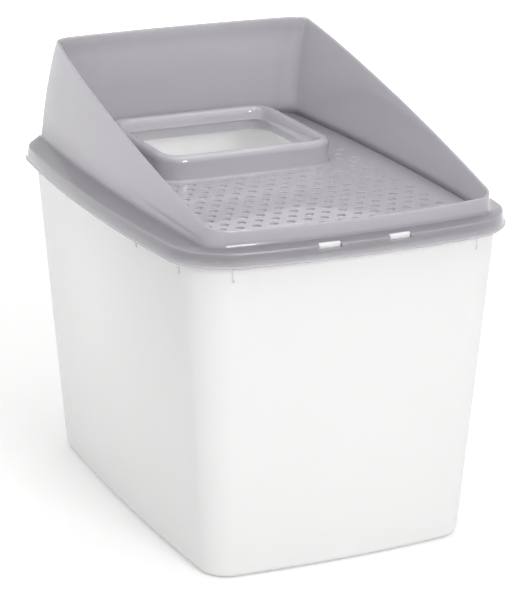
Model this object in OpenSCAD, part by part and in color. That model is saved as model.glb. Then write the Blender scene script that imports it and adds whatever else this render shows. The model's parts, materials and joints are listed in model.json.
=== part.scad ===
// Top entry litter box: a tapered bin, a strainer tray with a raised entry collar that rests
// on its rim, and a sloping hood that drops over both.
// Millimetres, +Z up. The origin is on the floor under the middle of the box, and the low
// front of the hood faces -Y.

/* [Bin] */
// Width of the bin just under the rim
bin_top_w = 386; // [370:1:389]
// Depth of the bin just under the rim
bin_top_d = 530; // [500:1:533]
// Width of the bin at the floor
bin_base_w = 329; // [290:1:350]
// Depth of the bin at the floor
bin_base_d = 474.5; // [440:0.5:500]
// Height of the bin from the floor to the top of its rim
bin_h = 376; // [250:1:450]
// Thickness of the bin's walls and bottom
bin_wall = 2.8; // [2:0.1:3.2]
// Corner radius of the bin at the top
bin_top_r = 39; // [34:1:48]
// Corner radius of the bin at the floor
bin_base_r = 27.5; // [22:0.5:40]
// How far the bin's sides bow outward at the top
bin_top_bow = 11.5; // [8:0.5:13]
// How far the bin's sides bow outward at the floor
bin_base_bow = 8.5; // [4:0.5:12]
// Radius of the rounded edge between the sides and the bottom
bin_edge_r = 10; // [6:0.5:14]
// Height of the foot ring that the bin stands on
foot_h = 2.4; // [1.5:0.1:4]
// Width of the foot ring
foot_w = 6; // [4:0.5:10]

/* [Rim] */
// Height of the lip that hangs down from the rim
lip_h = 9; // [7:0.5:11]
// Thickness of the rim and its lip
rim_t = 2.8; // [2:0.1:3.2]
// How far the ribs under the rim run down the wall
rib_h = 26; // [18:1:40]
// Thickness of each rib
rib_t = 2.2; // [1.5:0.1:3]
// Distance of the end ribs from the middle of the front and back
rib_x = 143; // [110:1:152]
// Distance of the side ribs from the middle of each side
rib_y = 106; // [100:1:170]
// Distance of the side ribs that stand at the corners
rib_corner_y = 209; // [190:1:236]

/* [Hood skirt] */
// Overall width of the hood at the bottom of its skirt
hood_w = 417.5; // [414:0.5:430]
// Overall depth of the hood at the bottom of its skirt
hood_d = 558.5; // [554:0.5:574]
// Height of the skirt
skirt_h = 16.5; // [12:0.5:18]
// How far the skirt flares outward from the crease down to its edge
skirt_flare = 2.6; // [1:0.1:4]
// Corner radius of the skirt
skirt_r = 52.5; // [46:0.5:62]
// How far the skirt's sides bow outward
skirt_bow = 16.5; // [10:0.5:17]
// Thickness of the skirt
skirt_t = 2.2; // [1.6:0.1:2.6]
// Height of the bead along the skirt's edge
bead_h = 3; // [2:0.5:5]
// How far the bead stands out from the skirt
bead_out = 0.8; // [0.4:0.1:1.2]

/* [Hood walls] */
// Width of the hood's walls at their foot
wall_w = 355.5; // [330:0.5:364]
// Depth of the hood's walls at their foot
wall_d = 531; // [500:1:534]
// How far the walls stand back of the middle of the box
wall_back = 3.5; // [0:0.5:6]
// Corner radius of the hood's walls
wall_r = 20; // [16:1:34]
// How far the hood's walls bow outward
wall_bow = 10; // [6:0.5:14]
// Thickness of the hood's walls
wall_t = 3; // [2.2:0.1:4]
// Height of the low front wall above the ledge
front_h = 17.3; // [12:0.1:40]
// Slope of the top edge from the front up to the back, in degrees
edge_slope = 13.1; // [8:0.1:18]
// How far the side walls draw in for each millimetre of height
side_draft = 0.054; // [0:0.002:0.08]
// How far the back wall leans forward for each millimetre of height
back_lean = 0.44; // [0.1:0.005:0.5]
// Share of the lean that is already there at the foot; the rest grows with height
lean_at_foot = 0.45; // [0.2:0.05:1]
// Rise of the ledge from the crease to the foot of the walls
ledge_rise = 1.8; // [0.5:0.1:3]
// Radius of the crease between the skirt and the ledge
crease_r = 2; // [1:0.5:2.5]
// Radius of the fillet at the foot of the walls
foot_fillet = 4; // [1:0.5:4]

/* [Strainer tray] */
// Thickness of the tray's floor and flange
tray_t = 2.6; // [2:0.1:3.5]
// Diameter of the drain holes
hole_d = 10; // [7:0.5:13]
// Distance from hole to hole
hole_pitch = 20; // [17:0.5:26]
// Distance of the grid's middle row of holes in front of the middle of the box
hole_shift = 4; // [0:0.5:10]
// Clear strip between the hood's walls and the holes
hole_margin = 30; // [16:1:40]
// Depth of the locating rib that drops inside the bin
locate_h = 7; // [4:0.5:12]
// Thickness of the locating rib
locate_t = 2.4; // [1.8:0.1:3]

/* [Entry collar] */
// Width of the entry inside the collar
entry_w = 187.5; // [150:0.5:190]
// Depth of the entry inside the collar
entry_d = 167; // [140:1:175]
// Distance of the entry's middle behind the middle of the box
entry_y = 108; // [95:1:120]
// Height of the collar above the tray's floor
collar_h = 29; // [20:1:36]
// Width of the collar over its rounded top
collar_w = 15; // [10:0.5:18]
// Thickness of the collar's wall
collar_t = 2.6; // [2:0.1:3.2]
// Corner radius of the entry
entry_r = 16; // [10:1:40]
// How far the collar's inner wall hangs down from its top
inner_h = 16; // [13:0.5:20]

/* [Latch lugs] */
// Width of each lug
lug_w = 24; // [16:1:30]
// Thickness of each lug
lug_t = 3.4; // [2.6:0.1:3.6]
// Height of each lug above the rim
lug_h = 6.4; // [3.6:0.1:7]
// Distance of each lug from the middle of the front and back
lug_x = 41; // [30:1:60]
// Clear space on each side of a lug in its slot
lug_gap = 0.8; // [0.6:0.1:2]

/* [Fit] */
// Clearance between the parts where one drops inside another
fit_gap = 1; // [0.6:0.1:1.5]

/* [Hidden] */
bin_colour = [0.93, 0.93, 0.92];
lid_colour = [0.66, 0.65, 0.67];
corner_steps = 10;
side_steps = 10;
bend_steps = 4;
overlap = 1;
lean_power = 3;

rim_z = bin_h;
floor_z = rim_z + tray_t;
crease_z = floor_z + tray_t;
skirt_z = crease_z - skirt_h;
foot_z = crease_z + ledge_rise;

// Sizes of an outline: half width, half depth, corner radius and bow
skirt_edge = [hood_w / 2, hood_d / 2, skirt_r, skirt_bow];
crease = grown(skirt_edge, -skirt_flare);
rim_edge = grown(crease, -skirt_t - fit_gap / 2);
tray_edge = grown(rim_edge, -lug_t - fit_gap / 2);
bin_top = [bin_top_w / 2, bin_top_d / 2, bin_top_r, bin_top_bow];
bin_base = [bin_base_w / 2, bin_base_d / 2, bin_base_r, bin_base_bow];
bin_mouth = grown(bin_top, -bin_wall);
wall_foot = [wall_w / 2, wall_d / 2, wall_r, wall_bow];
entry = [entry_w / 2, entry_d / 2, entry_r, 0];

function grown(s, by) = [s[0] + by, s[1] + by, s[2] + by, s[3]];
function blended(s, t, k) = s * (1 - k) + t * k;

// Middle of the rounding at one corner of a rectangle
function corner_at(q, a, b, r) = [(q == 0 || q == 3 ? 1 : -1) * (a - r), (q < 2 ? 1 : -1) * (b - r)];

// Points of a rounded rectangle, anticlockwise, with each side cut into steps
function rounded(a, b, r, steps) = [
    for (q = [0 : 3])
        let (c = corner_at(q, a, b, r), d = corner_at((q + 1) % 4, a, b, r),
             edge = r * [cos(90 * q + 90), sin(90 * q + 90)])
        each concat(
            [for (i = [0 : corner_steps]) let (t = 90 * (q + i / corner_steps)) c + r * [cos(t), sin(t)]],
            [for (j = [1 : 1 : steps - 1]) c + edge + (d - c) * j / steps])
];

// Pushes a point of the rectangle outward, most at the middle of each side
function bowed(p, a, b, bow) = [
    p[0] * (1 + bow / a * max(0, 1 - pow(p[1] / b, 2))),
    p[1] * (1 + bow / b * max(0, 1 - pow(p[0] / a, 2)))
];
// Straight sides need no steps
function outline(s) = [
    for (p = rounded(s[0] - s[3], s[1] - s[3], s[2], s[3] > 0 ? side_steps : 1))
        bowed(p, s[0] - s[3], s[1] - s[3], s[3])
];
function level(s, z) = [for (p = outline(s)) [p[0], p[1], z]];

// Bend between two outlines, from angle t0 to t1 about the bend's middle
function bend(s, by, z, r, t0, t1, steps = bend_steps) = [
    for (i = [0 : steps]) let (t = t0 + (t1 - t0) * i / steps)
        level(grown(s, by + r * cos(t)), z + r * sin(t))
];

// Skin through rings of equal count. A closed skin joins its last ring to its first.
module skin(rings, closed = false) {
    n = len(rings[0]);
    m = len(rings);
    strips = [
        for (i = [0 : m - (closed ? 1 : 2)], j = [0 : n - 1])
            let (k = (j + 1) % n, a = i * n + j, b = i * n + k, c = ((i + 1) % m) * n + k, d = ((i + 1) % m) * n + j)
            each [[a, d, c], [a, c, b]]
    ];
    ends = closed ? [] : [[for (j = [0 : n - 1]) j], [for (j = [0 : n - 1]) m * n - 1 - j]];
    polyhedron(points = [for (r = rings) each r], faces = concat(strips, ends), convexity = 8);
}

// Outline of the bin's outer face at a height
function bin_at(z) = blended(bin_base, bin_top, (z - bin_edge_r) / (rim_z - lip_h - bin_edge_r));

// The four places of the lugs: two at the front and two at the back
module at_lugs() {
    for (turn = [0, 180], side = [0, 1]) rotate(turn) mirror([side, 0, 0]) children();
}

// Distance from the middle out to a side of an outline, at a distance v along that side
function reach_at(half, other, r, bow, v) =
    let (a = half - bow, b = other - bow, past = max(0, v - (b - r)))
    (a - r + sqrt(r * r - past * past)) * (1 + bow / a * max(0, 1 - pow(v / b, 2)));
function side_reach(s, y) = reach_at(s[0], s[1], s[2], s[3], y);
function end_reach(s, x) = reach_at(s[1], s[0], s[2], s[3], x);

// Thin upright web from the wall out to the lip, tapering to nothing at its lower end
module rib(from, to) {
    translate([0, rib_t / 2, rim_z - rim_t - rib_h]) rotate([90, 0, 0])
        linear_extrude(rib_t)
            polygon([[from, 0], [to, rib_h - lip_h / 2], [to, rib_h + rim_t / 2], [from, rib_h + rim_t / 2]]);
}

module bin_ribs() {
    inside = grown(bin_top, -bin_wall / 2);
    lip = grown(rim_edge, -rim_t / 2);
    for (s = [0, 180], t = [-1, 1]) rotate(s) {
        for (y = [rib_y, rib_corner_y])
            translate([0, t * y, 0]) rib(side_reach(inside, y), side_reach(lip, y));
        rotate(90) translate([0, t * rib_x, 0]) rib(end_reach(inside, rib_x), end_reach(lip, rib_x));
    }
}

module bin() {
    flange = rim_z - rim_t;
    lip_end = rim_z - lip_h;
    color(bin_colour) {
        skin(concat(
            [level(grown(bin_base, -bin_edge_r - foot_w), foot_h)],
            [level(grown(bin_base, -bin_edge_r - foot_w + 1), 0)],
            bend(bin_base, -bin_edge_r, bin_edge_r, bin_edge_r, -90, 0),
            [level(bin_at(rim_z - lip_h - rib_h), rim_z - lip_h - rib_h)],
            [level(bin_top, flange)],
            [level(grown(rim_edge, -rim_t), flange)],
            [level(grown(rim_edge, -rim_t), lip_end + rim_t / 2)],
            bend(rim_edge, -rim_t / 2, lip_end + rim_t / 2, rim_t / 2, -180, 0),
            bend(rim_edge, -rim_t, rim_z - rim_t, rim_t, 0, 90),
            bend(bin_mouth, 1, rim_z - 1, 1, 90, 180),
            [level(grown(bin_at(rim_z - lip_h - rib_h), -bin_wall), rim_z - lip_h - rib_h)],
            bend(bin_base, -bin_edge_r, bin_edge_r + bin_wall, bin_edge_r - bin_wall, 0, -90)));
        bin_ribs();
        at_lugs() lug();
    }
}

// Plan of a lug that follows the rim, drawn in by an amount
function lug_plan(by) =
    let (half = lug_w / 2 - by, inner = grown(rim_edge, -lug_t))
    concat([for (x = [-half : half / 4 : half]) [lug_x + x, end_reach(inner, lug_x + x) + by]],
           [for (x = [half : -half / 4 : -half]) [lug_x + x, end_reach(rim_edge, lug_x + x) - by]]);

// Tongue with an eased upper edge, standing on the rim
module lug() {
    ease = 0.8;
    top = rim_z + lug_h;
    skin([for (step = [[0, rim_z - rim_t / 2], [0, top - ease], [ease / 3, top - ease / 3], [ease, top]])
        [for (p = lug_plan(step[0])) [p[0], p[1], step[1]]]]);
}

// Drain holes in staggered rows, over the floor in front of the collar and beside it
module hole_grid() {
    step_y = hole_pitch * sin(60);
    rows_beside = 3;
    reach = grown(wall_foot, -wall_t - hole_margin);
    keep_off = [entry[0] + collar_w + hole_d, entry[1] + collar_w + hole_d];
    last_y = entry_y - entry[1] + rows_beside * step_y;
    columns = floor(reach[0] / hole_pitch) + 1;
    rows = ceil(reach[1] / step_y);
    for (j = [-rows : rows], i = [-columns : columns]) {
        x = (i + (j % 2 == 0 ? 0 : 0.5)) * hole_pitch;
        y = j * step_y - hole_shift;
        clear_of_entry = abs(x) > keep_off[0] || y < entry_y - keep_off[1];
        if (abs(x) <= reach[0] && y >= -reach[1] && y <= last_y && clear_of_entry)
            translate([x, y]) circle(d = hole_d, $fn = 32);
    }
}

module strainer_tray() {
    rib_edge = grown(bin_mouth, -fit_gap);
    collar_z = floor_z + collar_h;
    color(lid_colour) {
        translate([0, 0, rim_z]) linear_extrude(tray_t) difference() {
            polygon(outline(tray_edge));
            translate([0, entry_y]) polygon(outline(grown(entry, collar_w - collar_t / 2)));
            hole_grid();
        }
        translate([0, 0, rim_z - locate_h]) linear_extrude(locate_h + overlap) difference() {
            polygon(outline(rib_edge));
            polygon(outline(grown(rib_edge, -locate_t)));
        }
        translate([0, entry_y, 0]) entry_collar(collar_z);
    }
}

// Hollow ridge round the entry: an outer wall with a small fillet at its foot, a rounded top
// and a short inner wall with a rounded free edge
module entry_collar(top) {
    fillet = 3;
    crown_r = collar_w / 2;
    crown_z = top - crown_r;
    edge_z = top - inner_h + collar_t / 2;
    skin(concat(
        [level(grown(entry, collar_w + fillet), rim_z)],
        bend(entry, collar_w + fillet, floor_z + fillet, fillet, 270, 180),
        bend(entry, crown_r, crown_z, crown_r, 0, 180, 2 * bend_steps),
        bend(entry, collar_t / 2, edge_z, collar_t / 2, 180, 360),
        bend(entry, crown_r, crown_z, crown_r - collar_t, 180, 0, 2 * bend_steps),
        [level(grown(entry, collar_w - collar_t), rim_z)]), closed = true);
}

// One ring of the hood's wall, k of the way from its foot to its sloping top edge. The part
// behind the middle leans forward, more and more towards the back and towards the top.
function wall_ring(s, k) = [
    for (p = outline(s))
        let (y = p[1] + wall_back,
             lean = back_lean * pow(max(0, p[1] / s[1]), lean_power),
             t = tan(edge_slope),
             edge_z = (foot_z + front_h + t * (p[1] + wall_foot[1] + lean * foot_z)) / (1 + t * lean),
             up = k * (edge_z - foot_z),
             eased = up * (lean_at_foot + (1 - lean_at_foot) * k))
        [p[0] * (1 - side_draft * eased / s[0]), y - lean * eased, foot_z + up]
];
function foot_ring(s, by, z) = [for (p = outline(grown(s, by))) [p[0], p[1] + wall_back, z]];

// Rounded top of the hood's wall: rings from its outer face over to its inner face
function crown(s, t) = [
    for (turn = [0 : 180 / (2 * bend_steps) : 180])
        let (ring = wall_ring(grown(s, -t * (1 - cos(turn))), 1))
        [for (p = ring) p - [0, 0, t * (1 - sin(turn))]]
];

// Windows of the lugs, cut through the upper part of the skirt and the ledge
module lug_windows() {
    inner_y = rim_edge[1] - lug_t - lug_gap - fit_gap;
    at_lugs() translate([lug_x - lug_w / 2 - lug_gap, inner_y, rim_z + lug_gap])
        cube([lug_w + 2 * lug_gap, hood_d / 2 + bead_out + lug_gap - inner_y, lug_h + lug_gap]);
}

module hood() {
    up_steps = [0.25, 0.5, 0.75, 0.9];
    inside = grown(wall_foot, -wall_t);
    bead_in = -skirt_flare * bead_h / skirt_h;
    color(lid_colour) difference() {
        skin(concat(
            [level(skirt_edge, skirt_z)],
            [level(grown(skirt_edge, bead_out), skirt_z + bead_out)],
            [level(grown(skirt_edge, bead_out), skirt_z + bead_h - bead_out)],
            [level(grown(skirt_edge, bead_in), skirt_z + bead_h)],
            bend(crease, -crease_r, crease_z - crease_r, crease_r, 0, 80),
            [foot_ring(wall_foot, foot_fillet, foot_z)],
            [foot_ring(wall_foot, foot_fillet / 3, foot_z + foot_fillet / 3)],
            [foot_ring(wall_foot, 0, foot_z + foot_fillet)],
            [for (k = up_steps) wall_ring(wall_foot, k)],
            crown(wall_foot, wall_t / 2),
            [for (k = up_steps) wall_ring(inside, 1 - k)],
            [foot_ring(inside, 0, floor_z)],
            [level(grown(crease, -skirt_t - crease_r), floor_z)],
            [level(grown(crease, -skirt_t), floor_z - crease_r)],
            [level(grown(skirt_edge, -skirt_t), skirt_z)]), closed = true);
        lug_windows();
    }
}

bin();
strainer_tray();
hood();
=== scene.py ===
# %% [markdown]
# # A top entry litter box
# Three plastic mouldings stand in a stack: a milky white bin, a glossy grey strainer tray with
# a raised collar round the cat's entry, and a glossy grey hood that drops over both.
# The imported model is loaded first, because every piece is made in its frame, in metres.

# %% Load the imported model
import math
import json
import bpy
import bmesh
from mathutils import Matrix, Vector

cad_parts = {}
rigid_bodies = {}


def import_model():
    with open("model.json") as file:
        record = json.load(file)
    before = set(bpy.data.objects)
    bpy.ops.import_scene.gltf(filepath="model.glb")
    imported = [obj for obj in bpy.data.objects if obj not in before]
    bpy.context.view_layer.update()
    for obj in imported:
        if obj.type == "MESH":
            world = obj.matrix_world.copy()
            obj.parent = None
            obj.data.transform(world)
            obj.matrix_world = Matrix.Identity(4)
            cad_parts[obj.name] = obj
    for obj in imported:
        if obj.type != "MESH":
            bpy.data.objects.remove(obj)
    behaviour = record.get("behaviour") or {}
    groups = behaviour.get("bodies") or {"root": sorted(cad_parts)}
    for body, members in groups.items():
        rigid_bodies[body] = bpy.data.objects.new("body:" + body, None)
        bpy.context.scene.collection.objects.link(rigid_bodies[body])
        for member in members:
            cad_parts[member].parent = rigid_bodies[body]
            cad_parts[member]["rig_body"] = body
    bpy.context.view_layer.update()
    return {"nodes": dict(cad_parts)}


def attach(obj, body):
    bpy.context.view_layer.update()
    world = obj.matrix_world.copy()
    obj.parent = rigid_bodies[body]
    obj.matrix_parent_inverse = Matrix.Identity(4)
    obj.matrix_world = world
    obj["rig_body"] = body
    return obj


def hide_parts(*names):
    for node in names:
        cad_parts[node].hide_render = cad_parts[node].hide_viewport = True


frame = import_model()

# %% [markdown]
# ## The camera
# A long lens far away gives the gentle perspective of a product photo. Its three axes are
# worked out from the viewing angle and put straight into the camera's matrix.

# %% The camera
VIEW_TURN = math.radians(-24.83)
VIEW_RISE = math.radians(18.48)
VIEW_ROLL = math.radians(0.36)
VIEW_DISTANCE = 2.905
VIEW_TARGET = Vector((0.0, 0.0, 0.2288))
LENS_MM = 151.2
SENSOR_MM = 36.0
LENS_SHIFT = (0.0144, 0.0026)


def direction_of(turn, rise):
    """The unit vector from the object towards a place seen at this turn and rise, in radians."""
    return Vector((math.sin(turn) * math.cos(rise),
                   -math.cos(turn) * math.cos(rise),
                   math.sin(rise)))


def make_camera():
    """The photograph's viewpoint."""
    back = direction_of(VIEW_TURN, VIEW_RISE)
    level_right = Vector((math.cos(VIEW_TURN), math.sin(VIEW_TURN), 0.0))
    right = Matrix.Rotation(VIEW_ROLL, 3, back) @ level_right
    up = back.cross(right)
    camera_data = bpy.data.cameras.new("photo_camera")
    camera_data.sensor_width = SENSOR_MM
    camera_data.lens = LENS_MM
    camera_data.shift_x, camera_data.shift_y = LENS_SHIFT
    camera = bpy.data.objects.new("photo_camera", camera_data)
    bpy.context.scene.collection.objects.link(camera)
    turn = Matrix((right, up, back)).transposed().to_4x4()
    camera.matrix_world = Matrix.Translation(VIEW_TARGET + back * VIEW_DISTANCE) @ turn
    bpy.context.scene.camera = camera
    return camera


camera = make_camera()
print("camera at", [round(v, 3) for v in camera.matrix_world.translation])

# %% [markdown]
# ## The studio
# The world is plain white for the camera, for reflections and for what shines through. As light
# it is only about half as strong, so that pale plastic keeps its shading.

# %% Small helpers for node trees
WHITE = (1, 1, 1, 1)
scene = bpy.context.scene
scene.view_settings.view_transform = "Standard"


def new_node(tree, kind, **settings):
    """Adds a node and sets its sockets by name."""
    node = tree.nodes.new(kind)
    for name, value in settings.items():
        socket = name.replace("_", " ")
        if socket in node.inputs:
            node.inputs[socket].default_value = value
        else:
            setattr(node, name, value)
    return node


def link(tree, source, target):
    tree.links.new(source, target)


def calculate(tree, operation, *values):
    """Adds a maths node. Each value is a number or the output of another node."""
    node = new_node(tree, "ShaderNodeMath", operation=operation)
    for socket, value in zip(node.inputs, values):
        if isinstance(value, float):
            socket.default_value = value
        else:
            link(tree, value, socket)
    return node.outputs[0]


print("colours are shown with the view transform", scene.view_settings.view_transform)


# %% World
WORLD_AS_LIGHT = 0.57


def make_world(light_strength):
    """A white world that is seen at full strength and lights the scene less strongly."""
    world = bpy.data.worlds.new("white_studio")
    world.use_nodes = True
    tree = world.node_tree
    tree.nodes.clear()
    path = tree.nodes.new("ShaderNodeLightPath")
    seen = calculate(tree, "MAXIMUM", path.outputs["Is Camera Ray"], path.outputs["Is Glossy Ray"])
    seen = calculate(tree, "MAXIMUM", seen, path.outputs["Is Transmission Ray"])
    as_light = new_node(tree, "ShaderNodeBackground", Color=WHITE, Strength=light_strength)
    as_seen = new_node(tree, "ShaderNodeBackground", Color=WHITE, Strength=1.0)
    mix = tree.nodes.new("ShaderNodeMixShader")
    link(tree, seen, mix.inputs["Fac"])
    link(tree, as_light.outputs[0], mix.inputs[1])
    link(tree, as_seen.outputs[0], mix.inputs[2])
    out = tree.nodes.new("ShaderNodeOutputWorld")
    link(tree, mix.outputs[0], out.inputs["Surface"])
    scene.world = world
    return world


world = make_world(WORLD_AS_LIGHT)
print(world.name, "lights the scene at strength", WORLD_AS_LIGHT)

# %% [markdown]
# ## The softboxes
# The photo has hardly any shadow, so the lamps are large and far away. The key lamp stands
# straight in front, where its light falls through the entry on to the bin's back wall. One lamp
# fills the left side and one lights the lid from above. The last one lights the hood from behind,
# and reflections leave it out, because the tray's glossy floor would show it as a bright patch.

# %% Lamps
LAMP_TARGET = Vector((0.0, 0.0, 0.3))


def make_area_lamp(name, turn, rise, distance, size, watts):
    """A soft square lamp, placed by its direction from the object, that looks at the lid."""
    direction = direction_of(math.radians(turn), math.radians(rise))
    lamp_data = bpy.data.lights.new(name, "AREA")
    lamp_data.shape = "SQUARE"
    lamp_data.size = size
    lamp_data.energy = watts
    lamp = bpy.data.objects.new(name, lamp_data)
    scene.collection.objects.link(lamp)
    lamp.location = LAMP_TARGET + direction * distance
    lamp.rotation_euler = (-direction).to_track_quat("-Z", "Y").to_euler()
    print(name, "at", [round(v, 2) for v in lamp.location], watts, "W")
    return lamp


make_area_lamp("key_softbox", turn=4, rise=22, distance=3.0, size=0.8, watts=27)
make_area_lamp("left_softbox", turn=-80, rise=25, distance=3.0, size=2.4, watts=8)
make_area_lamp("top_softbox", turn=0, rise=80, distance=2.6, size=2.4, watts=24)
back_softbox = make_area_lamp("back_softbox", turn=150, rise=35, distance=3.0, size=2.4, watts=12)
back_softbox.visible_glossy = False

# %% [markdown]
# ## Daylight through the wall
# The real bin's wall is thin and milky, so daylight comes through it and the inside is bright.
# Scattering in the material alone leaves the inside too dim here, so a weak, soft lamp in the
# middle of the bin stands in for that light. Neither the camera nor a reflection shows it.

# %% Lamp inside the bin
INNER_PLACE = (-0.03, 0.05, 0.26)
INNER_RADIUS = 0.09
INNER_WATTS = 0.55


def make_inner_daylight():
    """A soft lamp inside the bin that is never seen itself."""
    lamp_data = bpy.data.lights.new("inner_daylight", "POINT")
    lamp_data.shadow_soft_size = INNER_RADIUS
    lamp_data.energy = INNER_WATTS
    lamp = bpy.data.objects.new("inner_daylight", lamp_data)
    scene.collection.objects.link(lamp)
    lamp.location = INNER_PLACE
    lamp.visible_camera = False
    lamp.visible_glossy = False
    return lamp


inner_daylight = make_inner_daylight()
print(inner_daylight.name, "at", INNER_PLACE, INNER_WATTS, "W")

# %% [markdown]
# ## The floor
# A plain white floor. Its colour is matt, so the box's soft shadow stays on it. What the camera
# and reflections see also gets a little white added, more with distance, so that the floor fades
# into the background.

# %% Floor
FLOOR_HALF_SIDE = 30.0
FLOOR_COLOUR = (0.88, 0.88, 0.875, 1)
FADE_STARTS, FADE_ENDS = 0.6, 2.0
GLOW_NEAR, GLOW_FAR = 0.2, 0.9


def make_floor_material():
    """Matt white, with a glow that grows with the distance from the box."""
    material = bpy.data.materials.new("studio_white")
    material.use_nodes = True
    tree = material.node_tree
    tree.nodes.clear()
    diffuse = new_node(tree, "ShaderNodeBsdfDiffuse", Color=FLOOR_COLOUR)
    glow = new_node(tree, "ShaderNodeEmission", Color=WHITE)
    place = tree.nodes.new("ShaderNodeTexCoord")
    distance = new_node(tree, "ShaderNodeVectorMath", operation="LENGTH")
    fade = new_node(tree, "ShaderNodeMapRange", interpolation_type="SMOOTHSTEP",
                    From_Min=FADE_STARTS, From_Max=FADE_ENDS, To_Min=GLOW_NEAR, To_Max=GLOW_FAR)
    link(tree, place.outputs["Object"], distance.inputs[0])
    link(tree, distance.outputs["Value"], fade.inputs["Value"])
    link(tree, fade.outputs["Result"], glow.inputs["Strength"])
    both = tree.nodes.new("ShaderNodeAddShader")
    link(tree, diffuse.outputs[0], both.inputs[0])
    link(tree, glow.outputs[0], both.inputs[1])
    path = tree.nodes.new("ShaderNodeLightPath")
    seen = calculate(tree, "MAXIMUM", path.outputs["Is Camera Ray"], path.outputs["Is Glossy Ray"])
    mix = tree.nodes.new("ShaderNodeMixShader")
    link(tree, seen, mix.inputs["Fac"])
    link(tree, diffuse.outputs[0], mix.inputs[1])
    link(tree, both.outputs[0], mix.inputs[2])
    out = tree.nodes.new("ShaderNodeOutputMaterial")
    link(tree, mix.outputs[0], out.inputs["Surface"])
    return material


def make_floor():
    """One large square at height zero."""
    mesh = bpy.data.meshes.new("studio_floor")
    shape = bmesh.new()
    bmesh.ops.create_grid(shape, x_segments=1, y_segments=1, size=FLOOR_HALF_SIDE)
    shape.to_mesh(mesh)
    shape.free()
    floor = bpy.data.objects.new("studio_floor", mesh)
    scene.collection.objects.link(floor)
    mesh.materials.append(make_floor_material())
    return floor


floor = make_floor()
print(floor.name, "is", [round(v, 1) for v in floor.dimensions], "m")

# %% [markdown]
# ## The plastics
# The bin is milky white polypropylene and the tray and hood are a glossy warm grey. Such plastic
# lets some light in and scatters it, which is why the inside of the hood is nearly as bright as
# its outside. Subsurface scattering does that. Noise on Object coordinates varies the colour a
# little and ripples the bin and the hood, as cooling does on a real moulding.

# %% Plastic materials
CLOUD_SCALE = 9.0
CLOUD_SHARE = 0.015
RIPPLE_SCALE = 60.0
RIPPLE_HEIGHT = 0.002


def make_plastic(name, colour, roughness, subsurface, scatter_m, bump):
    """Moulded plastic: one colour, a faint cloudiness and a very fine surface ripple."""
    material = bpy.data.materials.new(name)
    material.use_nodes = True
    tree = material.node_tree
    plastic = tree.nodes["Principled BSDF"]
    plastic.inputs["Roughness"].default_value = roughness
    plastic.inputs["Subsurface Weight"].default_value = subsurface
    plastic.inputs["Subsurface Radius"].default_value = (1.0, 1.0, 1.0)
    plastic.inputs["Subsurface Scale"].default_value = scatter_m
    place = tree.nodes.new("ShaderNodeTexCoord")
    cloud = new_node(tree, "ShaderNodeTexNoise", Scale=CLOUD_SCALE, Detail=2.0)
    link(tree, place.outputs["Object"], cloud.inputs["Vector"])
    ramp = tree.nodes.new("ShaderNodeValToRGB")
    darker = [c * (1.0 - CLOUD_SHARE) for c in colour]
    lighter = [min(1.0, c * (1.0 + CLOUD_SHARE)) for c in colour]
    ramp.color_ramp.elements[0].color = (*darker, 1)
    ramp.color_ramp.elements[1].color = (*lighter, 1)
    link(tree, cloud.outputs["Fac"], ramp.inputs["Fac"])
    link(tree, ramp.outputs["Color"], plastic.inputs["Base Color"])
    ripple = new_node(tree, "ShaderNodeTexNoise", Scale=RIPPLE_SCALE, Detail=1.0)
    link(tree, place.outputs["Object"], ripple.inputs["Vector"])
    relief = new_node(tree, "ShaderNodeBump", Strength=bump, Distance=RIPPLE_HEIGHT)
    link(tree, ripple.outputs["Fac"], relief.inputs["Height"])
    link(tree, relief.outputs["Normal"], plastic.inputs["Normal"])
    print(name, "colour", colour, "roughness", roughness)
    return material


milky_white = make_plastic("milky_white_plastic", (0.86, 0.86, 0.855),
                           roughness=0.34, subsurface=1.0, scatter_m=0.008, bump=0.02)
hood_grey = make_plastic("hood_grey_plastic", (0.30, 0.287, 0.317),
                         roughness=0.12, subsurface=1.0, scatter_m=0.025, bump=0.01)
# The tray is the same grey plastic as the hood but is given a paler grey: painted light that lifts
# the shade the hood casts on the tray's floor and collar.
tray_grey = make_plastic("tray_grey_plastic", (0.48, 0.465, 0.50),
                         roughness=0.02, subsurface=0.5, scatter_m=0.006, bump=0.0)

# %% [markdown]
# ## The reflection on the strainer floor
# The photo shows a pale crescent on the glossy strainer floor, which suggests that the real floor
# isn't quite flat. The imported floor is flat, so only its shading is tilted here, by a bump whose
# height falls to the front and rises to both sides. A thin clear coat makes the gloss sharp.

# %% Bent reflection and clear coat
FLOOR_FALL = 0.029
FLOOR_TROUGH = 0.13
COAT_WEIGHT = 0.8
COAT_ROUGHNESS = 0.01


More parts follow.
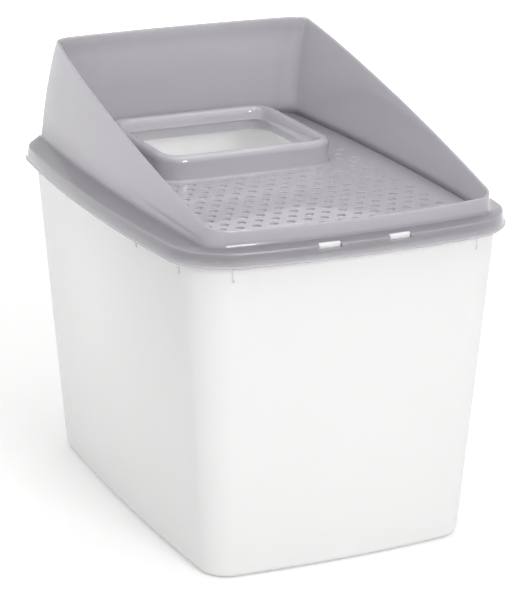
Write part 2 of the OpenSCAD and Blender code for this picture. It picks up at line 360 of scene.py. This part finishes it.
def bend_reflection(material, fall, trough):
    """Tilts the shading of a flat floor: it falls to the front and dips in the middle."""
    tree = material.node_tree
    plastic = tree.nodes["Principled BSDF"]
    fine_relief = plastic.inputs["Normal"].links[0].from_node
    place = tree.nodes.new("ShaderNodeTexCoord")
    parts = tree.nodes.new("ShaderNodeSeparateXYZ")
    link(tree, place.outputs["Object"], parts.inputs["Vector"])
    across = parts.outputs["X"]
    dip = calculate(tree, "MULTIPLY", calculate(tree, "MULTIPLY", across, across), trough)
    height = calculate(tree, "MULTIPLY_ADD", parts.outputs["Y"], fall, dip)
    bend = new_node(tree, "ShaderNodeBump", Strength=1.0, Distance=1.0)
    link(tree, height, bend.inputs["Height"])
    link(tree, fine_relief.outputs["Normal"], bend.inputs["Normal"])
    link(tree, bend.outputs["Normal"], plastic.inputs["Normal"])
    return plastic


tray_shader = bend_reflection(tray_grey, FLOOR_FALL, FLOOR_TROUGH)
tray_shader.inputs["Coat Weight"].default_value = COAT_WEIGHT
tray_shader.inputs["Coat Roughness"].default_value = COAT_ROUGHNESS
print(tray_grey.name, "falls", FLOOR_FALL, "m per m and has a coat of weight", COAT_WEIGHT)

# %% [markdown]
# ## The three mouldings
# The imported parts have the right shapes, so each is copied, its loose triangles are merged, and
# it is shaded smoothly except across real edges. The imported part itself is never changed.

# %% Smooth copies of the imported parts
CREASE_ANGLE = math.radians(35)
MERGE_DISTANCE = 1e-5


def is_smooth(edge):
    """True where two faces meet at less than the crease angle."""
    return len(edge.link_faces) == 2 and edge.calc_face_angle(0.0) < CREASE_ANGLE


def smooth_copy(node, name, material):
    """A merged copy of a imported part, shaded smoothly except across real edges."""
    source = frame["nodes"][node]
    mesh = source.data.copy()
    shape = bmesh.new()
    shape.from_mesh(mesh)
    bmesh.ops.remove_doubles(shape, verts=shape.verts, dist=MERGE_DISTANCE)
    for face in shape.faces:
        face.smooth = True
    for edge in shape.edges:
        edge.smooth = is_smooth(edge)
    shape.to_mesh(mesh)
    shape.free()
    mesh.materials.clear()
    mesh.materials.append(material)
    piece = bpy.data.objects.new(name, mesh)
    scene.collection.objects.link(piece)
    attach(piece, source["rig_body"])
    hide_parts(node)
    print(name, len(mesh.polygons), "faces")
    return piece


smooth_copy("bin", "bin_shell", milky_white)
smooth_copy("strainer_tray", "strainer_tray_shell", tray_grey)
smooth_copy("hood", "hood_shell", hood_grey)
